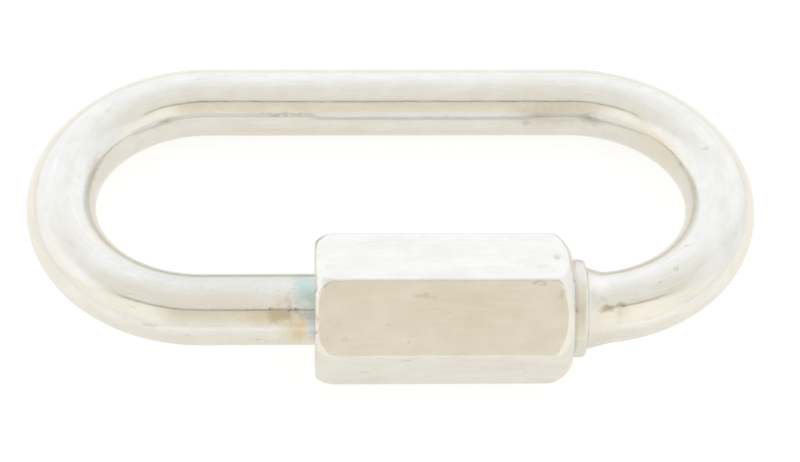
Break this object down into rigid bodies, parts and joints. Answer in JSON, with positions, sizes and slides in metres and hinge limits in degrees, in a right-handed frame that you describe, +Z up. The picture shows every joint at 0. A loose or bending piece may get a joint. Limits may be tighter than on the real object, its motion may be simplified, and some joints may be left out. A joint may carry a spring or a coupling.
{
  "type": "oval screw link",
  "caption": "Oval connecting link of bent round wire whose gate is closed by a hexagonal sleeve nut that screws back along the rail.",
  "frame": {"origin": "middle of the oval eye, halfway through the wire's thickness", "axes": "+X along the link's length towards the shoulder that the nut seats on, +Y from the gate rail to the far rail, +Z up through the eye"},
  "size_m": [0.037, 0.0199, 0.007],
  "materials": {
    "wire_zinc": "satin zinc plating over drawn wire",
    "nut_zinc": "satin zinc plating over turned hexagon bar"
  },
  "bodies": {
    "link": {"link_body": "wire_zinc"},
    "sleeve_carrier": {"sleeve_thread": "nut_zinc"},
    "sleeve": {"sleeve_nut": "nut_zinc"}
  },
  "joints": [
    {"name": "sleeve_travel", "type": "slide", "parent": "link", "child": "sleeve_carrier", "axis": [-1, 0, 0], "range_m": [0, 0.0055]},
    {"name": "sleeve_turn", "type": "hinge", "parent": "sleeve_carrier", "child": "sleeve", "pos_m": [0, -0.00725, 0], "axis": [-1, 0, 0], "range_deg": [0, 3300]}
  ],
  "couplings": [
    {"joint": "sleeve_turn", "follows": "sleeve_travel", "rad_per_m": 10472}
  ]
}
